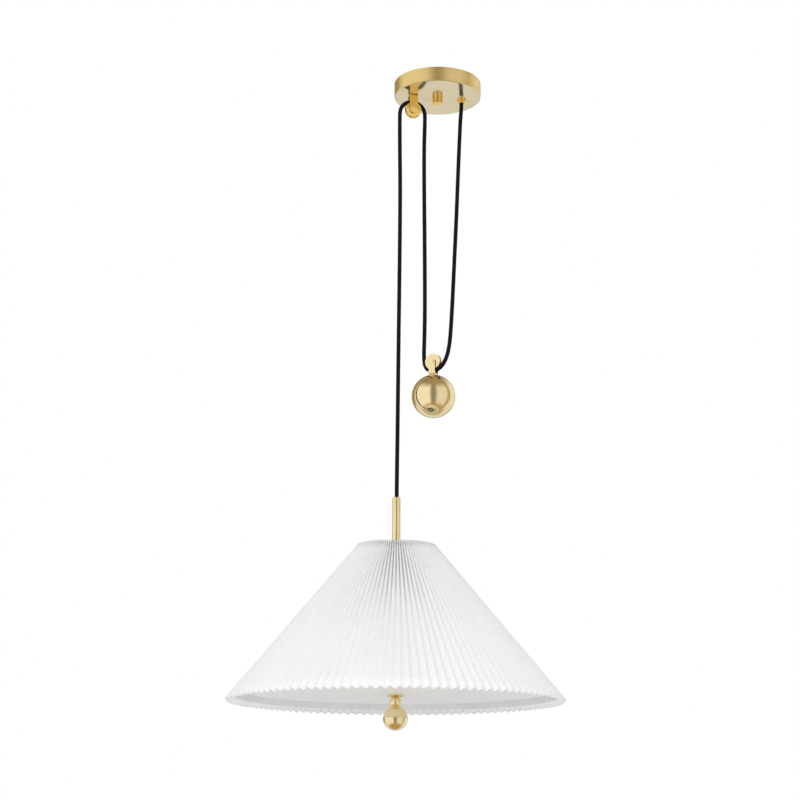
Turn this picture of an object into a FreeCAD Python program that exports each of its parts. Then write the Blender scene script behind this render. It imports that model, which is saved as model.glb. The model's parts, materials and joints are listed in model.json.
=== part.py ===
import FreeCAD, Part

import math
import operator
import os
from types import SimpleNamespace

import Sketcher

# A rise-and-fall pendant.  The origin is the centre of the ceiling canopy, on the ceiling plane,
# with +Z up.  The X axis runs from the pulley bracket (-X) to the cord grip (+X).

# ---------------------------------------------------------------------------------------------
# Driving dimensions, in millimetres and degrees
# ---------------------------------------------------------------------------------------------
SIZES = [
    # ceiling canopy and what fixes it
    ("canopy_dia", 154.5, "outer diameter of the canopy"),
    ("canopy_height", 26.0, "height of the canopy"),
    ("canopy_wall", 1.2, "sheet thickness of the canopy"),
    ("canopy_edge", 2.4, "outer radius of the bend round the canopy's lower edge"),
    ("bar_end", 3.55, "metal left between a slot and the end of the crossbar"),
    ("bar_width", 18.0, "width of the crossbar"),
    ("bar_thick", 2.5, "thickness of the crossbar"),
    ("slot_spacing", 88.9, "distance between the ceiling box screws"),
    ("slot_length", 14.0, "end-to-end length of a crossbar slot"),
    ("slot_width", 4.8, "width of a crossbar slot"),
    ("nipple_dia", 10.0, "outer diameter of the threaded nipples"),
    ("nipple_bore", 7.0, "bore of the threaded nipples"),
    ("nut_flats", 14.0, "width across flats of the nipples' hexagon nuts"),
    ("nut_thick", 3.0, "thickness of the hexagon nuts"),
    ("cap_nut_dia", 19.0, "diameter of the canopy's cap nut"),
    ("cap_nut_height", 11.0, "height of the canopy's cap nut"),
    ("cap_nut_depth", 8.0, "depth of the cap nut's threaded hole"),
    ("thread_gap", 0.1, "radial clearance drawn between a thread and its nut"),
    ("block_length", 24.0, "length of the terminal block"),
    ("block_height", 11.0, "height of the terminal block"),
    ("block_y", 23.5, "distance from the canopy's centre to the terminal block"),
    ("well_dia", 3.6, "diameter of a screw well in the terminal block"),
    ("well_depth", 4.0, "depth of a screw well in the terminal block"),
    # cord and cord grip
    ("cord_dia", 7.0, "diameter of the braided cord"),
    ("grip_x", 44.5, "distance from the canopy's centre to the cord grip"),
    ("grip_flange_dia", 16.6, "diameter of the cord grip's flange"),
    ("grip_flange_thick", 3.0, "thickness of the cord grip's flange"),
    ("grip_neck_dia", 11.0, "diameter of the cord grip's neck"),
    ("grip_neck_height", 3.4, "height of the cord grip's neck below its flange"),
    ("grip_shank", 7.0, "length of the cord grip's threaded shank above the flange"),
    ("supply_dia", 4.6, "diameter of the lead from the cord to the terminal block"),
    ("lead_dia", 2.0, "diameter of a lampholder's lead"),
    ("cord_gap", 0.15, "radial clearance round the cord in the grip and the stem cap"),
    # pulleys
    ("bracket_x", 45.0, "distance from the canopy's centre to the upper pulley"),
    ("upper_axle_drop", 54.0, "depth of the upper pulley's axle below the ceiling"),
    ("bracket_width", 15.0, "width of the pulley bracket's strap"),
    ("yoke_width", 12.0, "width of the counterweight yoke's strap"),
    ("strap_thick", 1.8, "thickness of the bracket's and the yoke's strap"),
    ("strap_bend", 2.3, "outer bend radius of the straps"),
    ("wheel_dia", 28.0, "outer diameter of the pulley wheels"),
    ("wheel_thick", 9.0, "thickness of the pulley wheels over their rims"),
    ("hub_thick", 9.8, "thickness of the pulley wheels over their hubs"),
    ("hub_dia", 12.0, "diameter of the raised hub of a pulley wheel"),
    ("groove_radius", 3.8, "radius of the rope groove's section"),
    ("groove_floor", 11.5, "radius of the wheel at the bottom of its groove"),
    ("side_gap", 0.25, "clearance between a wheel's hub and the strap beside it"),
    ("axle_dia", 5.0, "diameter of the pulley axles"),
    ("axle_gap", 0.05, "radial running clearance of a bush on its axle"),
    ("axle_head_dia", 8.0, "diameter of the axles' riveted heads"),
    ("axle_head_thick", 1.2, "thickness of the axles' riveted heads"),
    ("bush_wall", 1.4, "wall thickness of the wheels' bushes"),
    ("fit_gap", 0.02, "clearance drawn where a piece is pressed into or welded to another"),
    # counterweight
    ("weight_x", 7.1, "distance from the canopy's centre to the counterweight"),
    ("weight_yaw", -41.4, "how far the counterweight hangs turned about the vertical"),
    ("lower_axle_drop", 517.0, "depth of the lower pulley's axle below the ceiling"),
    ("yoke_depth", 23.0, "height of the lower axle above the underside of the yoke"),
    ("ball_dia", 75.0, "diameter of the counterweight ball"),
    ("ball_seat_dia", 11.0, "diameter of the flat on top of the ball, and of its washer"),
    ("ball_washer_thick", 1.4, "thickness of the washer between yoke and ball"),
    ("screw_dia", 6.0, "diameter of the threaded rods and screws"),
    ("screw_nut_flats", 10.0, "width across flats of the screws' hexagon nuts"),
    ("screw_head_dia", 9.0, "diameter of the low-headed screws' heads"),
    ("screw_head_thick", 1.6, "thickness of the low-headed screws' heads"),
    ("ball_screw_depth", 20.0, "how far the yoke's screw reaches into the ball"),
    # stem and shade frame
    ("shade_x", 71.2, "distance from the canopy's centre to the shade's axis"),
    ("stem_drop", 758.8, "depth of the top of the stem below the ceiling"),
    ("stem_dia", 14.0, "diameter of the stem"),
    ("stem_cap_height", 9.2, "height of the cap that clamps the cord on the stem"),
    ("stem_length", 94.0, "length of the stem tube below its cap"),
    ("wire_dia", 3.0, "diameter of the shade frame's wires"),
    ("hub_plate_dia", 28.0, "diameter of the spider's hub plate"),
    ("hub_plate_thick", 3.0, "thickness of the spider's hub plate"),
    ("hoop_wall", 1.2, "thickness of the shade's bottom hoop"),
    ("hoop_height", 12.0, "height of the shade's bottom hoop"),
    ("hoop_lift", 9.0, "height of the hoop's lower edge above the tips of the pleats"),
    ("frame_gap", 0.3, "clearance between the shade frame and the pleats"),
    # pleated shade
    ("shade_top_dia", 132.0, "diameter over the pleats' ridges at the top"),
    ("shade_bottom_dia", 560.0, "diameter over the pleats' ridges at the bottom"),
    ("shade_height", 258.3, "height between the top and bottom ends of a ridge"),
    ("shade_drop", 840.2, "depth of the shade's top below the ceiling"),
    ("pleat_count", 120, "number of pleats"),
    ("pleat_width", 10.1, "width of one face of a pleat, from ridge to valley"),
    ("shade_wall", 0.45, "thickness of the pleated sheet"),
    # lamp cluster
    ("cluster_dia", 52.0, "diameter of the lamp cluster's body"),
    ("cluster_height", 50.0, "height of the lamp cluster's body"),
    ("cluster_wall", 1.2, "sheet thickness of the lamp cluster's body"),
    ("lamp_count", 3, "number of lamps"),
    ("lamp_tilt", 40.0, "slope of the lamps below the horizontal"),
    ("lamp_apex", 8.0, "depth of the point where the lamps' axes meet below the spider"),
    ("holder_dia", 28.0, "diameter of a lampholder"),
    ("holder_start", 20.0, "distance from the lamps' meeting point to a holder's back"),
    ("holder_length", 44.0, "length of a lampholder"),
    ("holder_wall", 1.1, "wall thickness of a lampholder"),
    ("cap_dia", 24.8, "diameter of a lamp's screw cap"),
    ("cap_length", 24.0, "length of a lamp's screw cap"),
    ("cap_wall", 0.8, "wall thickness of a lamp's screw cap"),
    ("globe_dia", 60.0, "diameter of a lamp's glass"),
    ("globe_length", 81.0, "length of a lamp's glass beyond its holder"),
    ("glass_wall", 0.9, "thickness of a lamp's glass"),
    # diffuser and finial
    ("diffuser_lift", 10.3, "height of the diffuser's underside above the ridges' lower ends"),
    ("diffuser_dish", 3.8, "height of the diffuser's edge above its centre"),
    ("diffuser_thick", 1.5, "thickness of the diffuser"),
    ("diffuser_gap", 0.6, "clearance between the diffuser's edge and the hoop"),
    ("washer_dia", 27.6, "diameter of the finial's washer"),
    ("washer_thick", 3.0, "thickness of the finial's washer"),
    ("neck_dia", 19.6, "diameter of the finial's small ball"),
    ("neck_seat_dia", 9.4, "diameter of the flat on top of the small ball"),
    ("finial_dia", 40.6, "diameter of the finial's large ball"),
    ("finial_seat_dia", 11.8, "diameter of the flat between the two balls"),
    ("finial_wall", 2.2, "wall thickness of the finial's hollow large ball"),
    ("finial_gap", 0.08, "radial running clearance of the finial on its rod"),
]


class Size:
    """A number together with the sheet expression that it follows from."""

    def __init__(self, value, text):
        self.value = value
        self.text = text

    def _join(self, other, sign, work, swap=False):
        pair = (sized(other), self) if swap else (self, sized(other))
        text = f"({pair[0].text} {sign} {pair[1].text})"
        return Size(work(pair[0].value, pair[1].value), text)

    def __add__(self, other):
        return self._join(other, "+", operator.add)

    def __radd__(self, other):
        return self._join(other, "+", operator.add, swap=True)

    def __sub__(self, other):
        return self._join(other, "-", operator.sub)

    def __rsub__(self, other):
        return self._join(other, "-", operator.sub, swap=True)

    def __mul__(self, other):
        return self._join(other, "*", operator.mul)

    def __rmul__(self, other):
        return self._join(other, "*", operator.mul, swap=True)

    def __truediv__(self, other):
        return self._join(other, "/", operator.truediv)

    def __neg__(self):
        return 0 - self


def sized(number):
    """A Size as it is, and a plain number as a Size."""
    return number if isinstance(number, Size) else Size(float(number), repr(float(number)))


def root(square):
    """The square root of a Size."""
    return Size(math.sqrt(square.value), f"sqrt({square.text})")


doc = FreeCAD.newDocument("rise_and_fall_pendant")
sheet = doc.addObject("Spreadsheet::Sheet", "Dims")
for row, (name, value, meaning) in enumerate(SIZES, start=1):
    sheet.set(f"A{row}", name)
    sheet.set(f"B{row}", str(value))
    sheet.setAlias(f"B{row}", name)
    sheet.set(f"C{row}", meaning)
doc.recompute()
dim = SimpleNamespace(**{name: Size(value, f"Dims.{name}") for name, value, _ in SIZES})

X_AXIS = FreeCAD.Vector(1, 0, 0)
Y_AXIS = FreeCAD.Vector(0, 1, 0)
Z_AXIS = FreeCAD.Vector(0, 0, 1)
ZERO = sized(0)
SIN_60 = math.sin(math.radians(60))
ORIGIN = (ZERO, ZERO, ZERO)
pieces = []


# ---------------------------------------------------------------------------------------------
# Building blocks
# ---------------------------------------------------------------------------------------------
def bind(thing, **sizes):
    """Sets properties of an object and binds them to the sheet."""
    for prop, size in sizes.items():
        setattr(thing, prop, sized(size).value)
        thing.setExpression(prop, sized(size).text)


def put(thing, at=ORIGIN, direction=Z_AXIS, yaw=0.0):
    """Turns an object's own Z axis to a direction, then about the vertical, and moves it."""
    turn = FreeCAD.Rotation(Z_AXIS, yaw).multiply(FreeCAD.Rotation(Z_AXIS, direction))
    thing.Placement = FreeCAD.Placement(vector(at), turn)
    for letter, size in zip("xyz", at):
        thing.setExpression(f"Placement.Base.{letter}", sized(size).text)
    return thing


def vector(at):
    return FreeCAD.Vector(*(sized(size).value for size in at))


def cylinder(name, radius, height, at=ORIGIN, direction=Z_AXIS):
    """A cylinder that starts at a point and runs along a direction."""
    thing = doc.addObject("Part::Cylinder", name)
    bind(thing, Radius=radius, Height=height)
    return put(thing, at, direction)


def box(name, length, width, height, at):
    """A box centred on a point in X and Y, that rises from it."""
    thing = doc.addObject("Part::Box", name)
    bind(thing, Length=length, Width=width, Height=height)
    return put(thing, (at[0] - length / 2, at[1] - width / 2, at[2]))


def hexagon(name, flats, height, at):
    """A hexagonal prism that rises from a point."""
    thing = doc.addObject("Part::Prism", name)
    thing.Polygon = 6
    bind(thing, Circumradius=flats / 2 / SIN_60, Height=height)
    return put(thing, at)


def fuse(name, things):
    thing = doc.addObject("Part::MultiFuse", name)
    thing.Shapes = things
    return thing


def common(name, things):
    thing = doc.addObject("Part::MultiCommon", name)
    thing.Shapes = things
    return thing


def cut(name, base, tool):
    thing = doc.addObject("Part::Cut", name)
    thing.Base = base
    thing.Tool = tool
    return thing


def keep(thing, label):
    """Marks an object as a finished sub-part; its label names its file."""
    thing.Label = label
    pieces.append(thing)
    return thing


def plane_of(body, role):
    return next(f for f in body.Origin.OriginFeatures if f.Role == role)


def outline(body, role, start, steps):
    """A closed sketch on a body's own plane.  A step is ("line", x, y) or ("arc", centre x,
    centre y, radius, x, y, way), which runs to x, y; way is 1 anticlockwise and -1 clockwise."""
    sketch = body.newObject("Sketcher::SketchObject", body.Name + "_outline")
    sketch.AttachmentSupport = [(plane_of(body, role), "")]
    sketch.MapMode = "FlatFace"
    corner = (sized(start[0]), sized(start[1]))
    for step in steps:
        end = (sized(step[-3]), sized(step[-2])) if step[0] == "arc" else (
            sized(step[1]), sized(step[2]))
        here = FreeCAD.Vector(corner[0].value, corner[1].value, 0)
        there = FreeCAD.Vector(end[0].value, end[1].value, 0)
        if step[0] == "line":
            sketch.addGeometry(Part.LineSegment(here, there))
        else:
            sketch.addGeometry(arc_between(here, there, step[1], step[2], step[3], step[-1]))
        corner = end
    close_and_fix(sketch, start, steps)
    return sketch


def arc_between(here, there, centre_x, centre_y, radius, way):
    """An arc of a circle; Sketcher's arcs always run anticlockwise."""
    centre = FreeCAD.Vector(sized(centre_x).value, sized(centre_y).value, 0)
    first, last = (here, there) if way > 0 else (there, here)
    angles = [math.atan2(p.y - centre.y, p.x - centre.x) for p in (first, last)]
    circle = Part.Circle(centre, Z_AXIS, sized(radius).value)
    return Part.ArcOfCircle(circle, angles[0], angles[1])


def close_and_fix(sketch, start, steps):
    """Joins a sketch's edges end to end and binds each corner and each radius."""
    ends = [(1, 2) if step[0] == "line" or step[-1] > 0 else (2, 1) for step in steps]
    for i, step in enumerate(steps):
        j = (i + 1) % len(steps)
        sketch.addConstraint(Sketcher.Constraint("Coincident", i, ends[i][1], j, ends[j][0]))
    corner = start
    for i, step in enumerate(steps):
        for axis, kind, size in ((-2, "DistanceX", corner[0]), (-1, "DistanceY", corner[1])):
            size = sized(size)
            if size.text == ZERO.text:
                on_axis = Sketcher.Constraint("PointOnObject", i, ends[i][0], axis)
                sketch.addConstraint(on_axis)
                continue
            at = sketch.addConstraint(
                Sketcher.Constraint(kind, -1, 1, i, ends[i][0], size.value))
            sketch.setExpression(f"Constraints[{at}]", size.text)
        if step[0] == "arc":
            radius = sized(step[3])
            at = sketch.addConstraint(Sketcher.Constraint("Radius", i, radius.value))
            sketch.setExpression(f"Constraints[{at}]", radius.text)
            corner = (step[4], step[5])
        else:
            corner = (step[1], step[2])


def turned(name, start, steps, at=ORIGIN, direction=Z_AXIS, yaw=0.0):
    """A lathe-turned piece: a profile of radius and height, revolved about its own Z axis."""
    body = doc.addObject("PartDesign::Body", name)
    sketch = outline(body, "XZ_Plane", start, steps)
    revolve = body.newObject("PartDesign::Revolution", name + "_turned")
    revolve.Profile = sketch
    revolve.ReferenceAxis = (sketch, ["V_Axis"])
    revolve.Angle = 360.0
    body.Tip = revolve
    return put(body, at, direction, yaw)


def ring(name, outer, bore, height, at=ORIGIN, direction=Z_AXIS, yaw=0.0):
    """A plain washer, bush or tube."""
    steps = [("line", outer, ZERO), ("line", outer, height), ("line", bore, height),
             ("line", bore, ZERO)]
    return turned(name, (bore, ZERO), steps, at, direction, yaw)


# ---------------------------------------------------------------------------------------------
# Sizes that follow from the driving ones
# ---------------------------------------------------------------------------------------------
canopy_r = dim.canopy_dia / 2
canopy_base = -dim.canopy_height
nipple_r = dim.nipple_dia / 2
nipple_hole = nipple_r + dim.thread_gap
cord_r = dim.cord_dia / 2
cord_hole = cord_r + dim.cord_gap
axle_r = dim.axle_dia / 2
bush_bore = axle_r + dim.axle_gap
bush_r = bush_bore + dim.bush_wall
screw_r = dim.screw_dia / 2
screw_hole = screw_r + dim.thread_gap
bar_length = dim.slot_spacing + dim.slot_length + dim.bar_end * 2
strap_gap = dim.hub_thick + dim.side_gap * 2
strap_half = strap_gap / 2 + dim.strap_thick
stem_r = dim.stem_dia / 2
stem_base = -(dim.stem_drop + dim.stem_cap_height + dim.stem_length)
spider_base = stem_base - dim.hub_plate_thick
shade_axis = (-dim.shade_x, ZERO)
weight_axis = (-dim.weight_x, ZERO)
yaw = dim.weight_yaw.value


# ---------------------------------------------------------------------------------------------
# Ceiling canopy
# ---------------------------------------------------------------------------------------------
def crossbar():
    """The steel bar across the ceiling box, with a slot at each end for the box's screws."""
    bar_base = -dim.bar_thick
    bar = box("bar_plate", dim.bar_width, bar_length, dim.bar_thick, (ZERO, ZERO, bar_base))
    holes = [cylinder("bar_hole", nipple_hole, dim.bar_thick, (ZERO, ZERO, bar_base))]
    straight = dim.slot_length - dim.slot_width
    for side, word in ((-1, "near"), (1, "far")):
        middle = side * dim.slot_spacing / 2
        holes.append(box(f"slot_{word}", dim.slot_width, straight, dim.bar_thick,
                         (ZERO, middle, bar_base)))
        for end, place in ((-1, "a"), (1, "b")):
            holes.append(cylinder(f"slot_{word}_{place}", dim.slot_width / 2, dim.bar_thick,
                                  (ZERO, middle + end * straight / 2, bar_base)))
    keep(cut("bar_cut", bar, fuse("bar_holes", holes)), "crossbar")


def canopy_shell():
    """The canopy, a spun cup, with holes for the nipple, the cord grip and the bracket screw."""
    wall, bend = dim.canopy_wall, dim.canopy_edge
    inner_bend = bend - wall
    inner_r = canopy_r - wall
    height = dim.canopy_height
    cup = turned("canopy_cup", (ZERO, ZERO), [
        ("line", canopy_r - bend, ZERO),
        ("arc", canopy_r - bend, bend, bend, canopy_r, bend, 1),
        ("line", canopy_r, height),
        ("line", inner_r, height),
        ("line", inner_r, bend),
        ("arc", canopy_r - bend, bend, inner_bend, canopy_r - bend, wall, -1),
        ("line", ZERO, wall),
        ("line", ZERO, ZERO),
    ], (ZERO, ZERO, canopy_base))
    holes = [
        cylinder("canopy_hole", nipple_hole, wall, (ZERO, ZERO, canopy_base)),
        cylinder("grip_hole", nipple_hole, wall, (dim.grip_x, ZERO, canopy_base)),
        cylinder("bracket_hole", screw_hole, wall, (-dim.bracket_x, ZERO, canopy_base)),
    ]
    keep(cut("canopy_cut", cup, fuse("canopy_holes", holes)), "canopy_shell")


def nut(label, across, hole, thick, at):
    """A hexagon nut whose underside is at a point."""
    blank = hexagon(label + "_blank", across, thick, at)
    keep(cut(label + "_cut", blank, cylinder(label + "_hole", hole, thick, at)), label)


def canopy_fixing():
    """The threaded nipple, its locknut under the crossbar and the cap nut under the canopy."""
    top_gap = dim.bar_thick / 5
    length = dim.canopy_height + dim.cap_nut_depth - top_gap - dim.thread_gap
    keep(ring("nipple_tube", nipple_r, dim.nipple_bore / 2, length,
              (ZERO, ZERO, -(length + top_gap))), "canopy_nipple")
    nut("crossbar_locknut", dim.nut_flats, nipple_hole, dim.nut_thick,
        (ZERO, ZERO, -(dim.bar_thick + dim.nut_thick)))
    cap_r, chamfer = dim.cap_nut_dia / 2, dim.cap_nut_dia / 24
    height, solid = dim.cap_nut_height, dim.cap_nut_height - dim.cap_nut_depth
    keep(turned("cap_nut_turned", (ZERO, ZERO), [
        ("line", cap_r - chamfer, ZERO),
        ("line", cap_r, chamfer),
        ("line", cap_r, height),
        ("line", nipple_hole, height),
        ("line", nipple_hole, solid),
        ("line", ZERO, solid),
        ("line", ZERO, ZERO),
    ], (ZERO, ZERO, canopy_base - height)), "canopy_cap_nut")


def terminal_block():
    """The terminal block under one arm of the crossbar, with a row of screw wells on each side,
    and the lead that brings the cord's cores to it."""
    block_base = -(dim.bar_thick + dim.block_height)
    block = box("block", dim.bar_width, dim.block_length, dim.block_height,
                (ZERO, dim.block_y, block_base))
    wells = []
    for i in range(3):
        place = dim.block_y + (i - 1) * dim.block_length / 3.2
        for side in (-1, 1):
            wells.append(cylinder(f"well_{i}_{side + 1}", dim.well_dia / 2, dim.well_depth,
                                  (side * dim.bar_width / 4, place, block_base)))
    keep(cut("block_cut", block, fuse("block_wells", wells)), "terminal_block")


def cord_grip():
    """The cord grip: neck and flange below the canopy, threaded shank and locknut inside it."""
    neck, flange, shank = dim.grip_neck_height, dim.grip_flange_thick, dim.grip_shank
    top = neck + flange + shank
    neck_r, flange_r = dim.grip_neck_dia / 2, dim.grip_flange_dia / 2
    keep(turned("grip_turned", (cord_hole, ZERO), [
        ("line", neck_r, ZERO),
        ("line", neck_r, neck),
        ("line", flange_r, neck),
        ("line", flange_r, neck + flange),
        ("line", nipple_r, neck + flange),
        ("line", nipple_r, top),
        ("line", cord_hole, top),
        ("line", cord_hole, ZERO),
    ], (dim.grip_x, ZERO, canopy_base - neck - flange)), "cord_grip")
    nut("grip_locknut", dim.nut_flats, nipple_hole, dim.nut_thick,
        (dim.grip_x, ZERO, canopy_base + dim.canopy_wall))


# ---------------------------------------------------------------------------------------------
# Pulleys
# ---------------------------------------------------------------------------------------------
def strap(name, width, axle_height, hole):
    """A U-shaped strap: its underside is at Z = 0, its legs rise on each side of a wheel, and
    their rounded ends carry the axle, which runs along Y."""
    thick, bend = dim.strap_thick, dim.strap_bend
    inner_bend = bend - thick
    inner = strap_half - thick
    top = axle_height + width / 2
    body = doc.addObject("PartDesign::Body", name + "_strip")
    sketch = outline(body, "YZ_Plane", (-strap_half, bend), [
        ("arc", -strap_half + bend, bend, bend, -strap_half + bend, ZERO, 1),
        ("line", strap_half - bend, ZERO),
        ("arc", strap_half - bend, bend, bend, strap_half, bend, 1),
        ("line", strap_half, top),
        ("line", inner, top),
        ("line", inner, bend),
        ("arc", strap_half - bend, bend, inner_bend, strap_half - bend, thick, -1),
        ("line", -strap_half + bend, thick),
        ("arc", -strap_half + bend, bend, inner_bend, -inner, bend, -1),
        ("line", -inner, top),
        ("line", -strap_half, top),
        ("line", -strap_half, bend),
    ])
    pad = body.newObject("PartDesign::Pad", name + "_pad")
    pad.Profile = sketch
    pad.Midplane = True
    bind(pad, Length=width)
    body.Tip = pad
    rounded = fuse(name + "_reach", [
        box(name + "_column", width, strap_half * 2, axle_height, ORIGIN),
        cylinder(name + "_end", width / 2, strap_half * 2, (ZERO, -strap_half, axle_height),
                 Y_AXIS),
    ])
    holes = fuse(name + "_holes", [
        cylinder(name + "_axle_hole", axle_r + dim.fit_gap, strap_half * 2,
                 (ZERO, -strap_half, axle_height), Y_AXIS),
        cylinder(name + "_screw_hole", hole, thick, ORIGIN),
    ])
    return cut(name + "_cut", common(name + "_rounded", [body, rounded]), holes)


def pulley(word, at, angle):
    """A grooved wheel with its bush, and the riveted axle that they turn on."""
    wheel_r, hub_r = dim.wheel_dia / 2, dim.hub_dia / 2
    step = (dim.hub_thick - dim.wheel_thick) / 2
    middle = dim.hub_thick / 2
    groove_centre = dim.groove_floor + dim.groove_radius
    rise = groove_centre - wheel_r
    mouth = root(dim.groove_radius * dim.groove_radius - rise * rise)
    bore = bush_r + dim.fit_gap
    side = FreeCAD.Rotation(Z_AXIS, angle).multVec(Y_AXIS)

    def beside(depth):
        """The point on the axle's line that far back from the wheel's middle."""
        return (at[0] - depth * side.x, at[1] - depth * side.y, at[2])

    wheel = turned(f"{word}_wheel", (bore, ZERO), [
        ("line", hub_r, ZERO),
        ("line", hub_r, step),
        ("line", wheel_r, step),
        ("line", wheel_r, middle - mouth),
        ("arc", groove_centre, middle, dim.groove_radius, wheel_r, middle + mouth, -1),
        ("line", wheel_r, dim.hub_thick - step),
        ("line", hub_r, dim.hub_thick - step),
        ("line", hub_r, dim.hub_thick),
        ("line", bore, dim.hub_thick),
        ("line", bore, ZERO),
    ], beside(middle), Y_AXIS, angle)
    keep(wheel, f"{word}_pulley_wheel")
    keep(ring(f"{word}_bush", bush_r, bush_bore, dim.hub_thick, beside(middle), Y_AXIS, angle),
         f"{word}_wheel_bush")
    head_r, head = dim.axle_head_dia / 2, dim.axle_head_thick
    long = strap_half * 2
    keep(turned(f"{word}_pin", (ZERO, ZERO), [
        ("line", head_r, ZERO),
        ("line", head_r, head),
        ("line", axle_r, head),
        ("line", axle_r, head + long),
        ("line", head_r, head + long),
        ("line", head_r, head * 2 + long),
        ("line", ZERO, head * 2 + long),
        ("line", ZERO, ZERO),
    ], beside(strap_half + head), Y_AXIS, angle), f"{word}_axle")


def upper_pulley():
    """The bracket under the canopy, its screw and nut, and the upper wheel."""
    height = dim.upper_axle_drop - dim.canopy_height
    bracket = strap("bracket", dim.bracket_width, height, screw_hole)
    put(bracket, (-dim.bracket_x, ZERO, canopy_base), -Z_AXIS)
    keep(bracket, "pulley_bracket")
    reach = dim.canopy_wall + dim.nut_thick + dim.strap_thick
    head_r, head = dim.screw_head_dia / 2, dim.screw_head_thick
    keep(turned("bracket_screw_turned", (ZERO, ZERO), [
        ("line", head_r, ZERO),
        ("line", head_r, head),
        ("line", screw_r, head),
        ("line", screw_r, head + reach),
        ("line", ZERO, head + reach),
        ("line", ZERO, ZERO),
    ], (-dim.bracket_x, ZERO, canopy_base - dim.strap_thick - head)), "bracket_screw")
    nut("bracket_nut", dim.screw_nut_flats, screw_hole, dim.nut_thick,
        (-dim.bracket_x, ZERO, canopy_base + dim.canopy_wall))
    pulley("upper", (-dim.bracket_x, ZERO, -dim.upper_axle_drop), 0.0)


def counterweight():
    """The lower wheel in its yoke, and the solid ball screwed under it."""
    yoke_base = -(dim.lower_axle_drop + dim.yoke_depth)
    yoke = strap("yoke", dim.yoke_width, dim.yoke_depth, screw_hole)
    put(yoke, (*weight_axis, yoke_base), Z_AXIS, yaw)
    keep(yoke, "counterweight_yoke")
    pulley("lower", (*weight_axis, -dim.lower_axle_drop), yaw)
    seat_r, ball_r = dim.ball_seat_dia / 2, dim.ball_dia / 2
    seat = yoke_base - dim.ball_washer_thick
    keep(ring("ball_washer_ring", seat_r, screw_hole, dim.ball_washer_thick,
              (*weight_axis, seat)), "ball_washer")
    rise = root(ball_r * ball_r - seat_r * seat_r)
    hole = ball_r + rise - dim.ball_screw_depth
    keep(turned("ball_turned", (ZERO, ZERO), [
        ("arc", ZERO, ball_r, ball_r, seat_r, ball_r + rise, 1),
        ("line", screw_hole, ball_r + rise),
        ("line", screw_hole, hole),
        ("line", ZERO, hole),
        ("line", ZERO, ZERO),
    ], (*weight_axis, seat - ball_r - rise)), "counterweight_ball")
    head_r, head = dim.screw_head_dia / 2, dim.screw_head_thick
    shank = dim.strap_thick + dim.ball_washer_thick + dim.ball_screw_depth - dim.thread_gap
    keep(turned("yoke_screw_turned", (ZERO, ZERO), [
        ("line", screw_r, ZERO),
        ("line", screw_r, shank),
        ("line", head_r, shank),
        ("line", head_r, shank + head),
        ("line", ZERO, shank + head),
        ("line", ZERO, ZERO),
    ], (*weight_axis, yoke_base + dim.strap_thick - shank)), "yoke_screw")


# ---------------------------------------------------------------------------------------------
# Pleated shade and its frame
# ---------------------------------------------------------------------------------------------
LEAST_FOLD = 1.02  # a pleat's face is at least this many times its half pitch wide


def fold_lines():
    """The four lines that the pleats follow, each as its top and bottom (radius, height):
    the ridges and the valleys of the outer skin, then those of the inner skin."""
    top_r, bottom_r = dim.shade_top_dia.value / 2, dim.shade_bottom_dia.value / 2
    top_z = -dim.shade_drop.value
    slope = math.atan2(bottom_r - top_r, dim.shade_height.value)
    outward = (math.cos(slope), math.sin(slope))
    ridges = [(top_r, top_z), (bottom_r, top_z - dim.shade_height.value)]
    lines = []
    for sunk in (False, True):
        for wall in (False, True):
            line = []
            for radius, height in ridges:
                half_pitch = math.pi * radius / dim.pleat_count.value
                face = max(dim.pleat_width.value, LEAST_FOLD * half_pitch)
                depth = math.sqrt(face ** 2 - half_pitch ** 2)
                inward = depth * sunk + dim.shade_wall.value * face / half_pitch * wall
                line.append((radius - inward * outward[0], height - inward * outward[1]))
            lines.append(line)
    ridge, ridge_inside, valley, valley_inside = lines
    return ridge, valley, ridge_inside, valley_inside


def pleated_shade():
    """The accordion-pleated cone.  Each face of a pleat keeps its width from top to bottom, so
    that it twists a little: it is two triangles that meet on the line from the ridge's top to
    the valley's bottom, on the outer skin as on the inner one."""
    count = int(dim.pleat_count.value)
    ridge, valley, ridge_inside, valley_inside = fold_lines()

    def on(line, step):
        """Top and bottom point of a fold line, turned by half pleats about the shade's axis."""
        angle = math.pi * step / count
        return [FreeCAD.Vector(r * math.cos(angle), r * math.sin(angle), z) for r, z in line]

    def patch(a, b, c, d):
        """Two triangles that fill the four-sided patch a, b, c, d."""
        return [Part.Face(Part.makePolygon([a, b, c, a])),
                Part.Face(Part.makePolygon([a, c, d, a]))]

    outer = [on(valley if i % 2 else ridge, i) for i in range(2 * count)]
    inner = [on(valley_inside if i % 2 else ridge_inside, i) for i in range(2 * count)]
    faces = []
    for i in range(2 * count):
        j = (i + 1) % (2 * count)
        if i % 2:
            faces += patch(outer[j][0], outer[j][1], outer[i][1], outer[i][0])
            faces += patch(inner[j][0], inner[i][0], inner[i][1], inner[j][1])
        else:
            faces += patch(outer[i][0], outer[j][0], outer[j][1], outer[i][1])
            faces += patch(inner[i][0], inner[i][1], inner[j][1], inner[j][0])
        faces += patch(outer[j][0], outer[i][0], inner[i][0], inner[j][0])
        faces += patch(outer[i][1], outer[j][1], inner[j][1], inner[i][1])
    shell = Part.makeShell(faces)
    shell.sewShape()
    solid = Part.makeSolid(shell)
    if solid.Volume < 0:
        solid.reverse()
    shade = doc.addObject("Part::Feature", "shade_folds")
    shade.Shape = solid
    keep(put(shade, (*shade_axis, ZERO)), "pleated_shade")


def frame_line():
    """A point on the inside of the valleys, and the slope of that line to the vertical."""
    valley_inside = fold_lines()[3]
    (top_r, top_z), (bottom_r, bottom_z) = valley_inside
    slope = math.atan2(bottom_r - top_r, top_z - bottom_z)
    return top_r, top_z, slope


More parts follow.
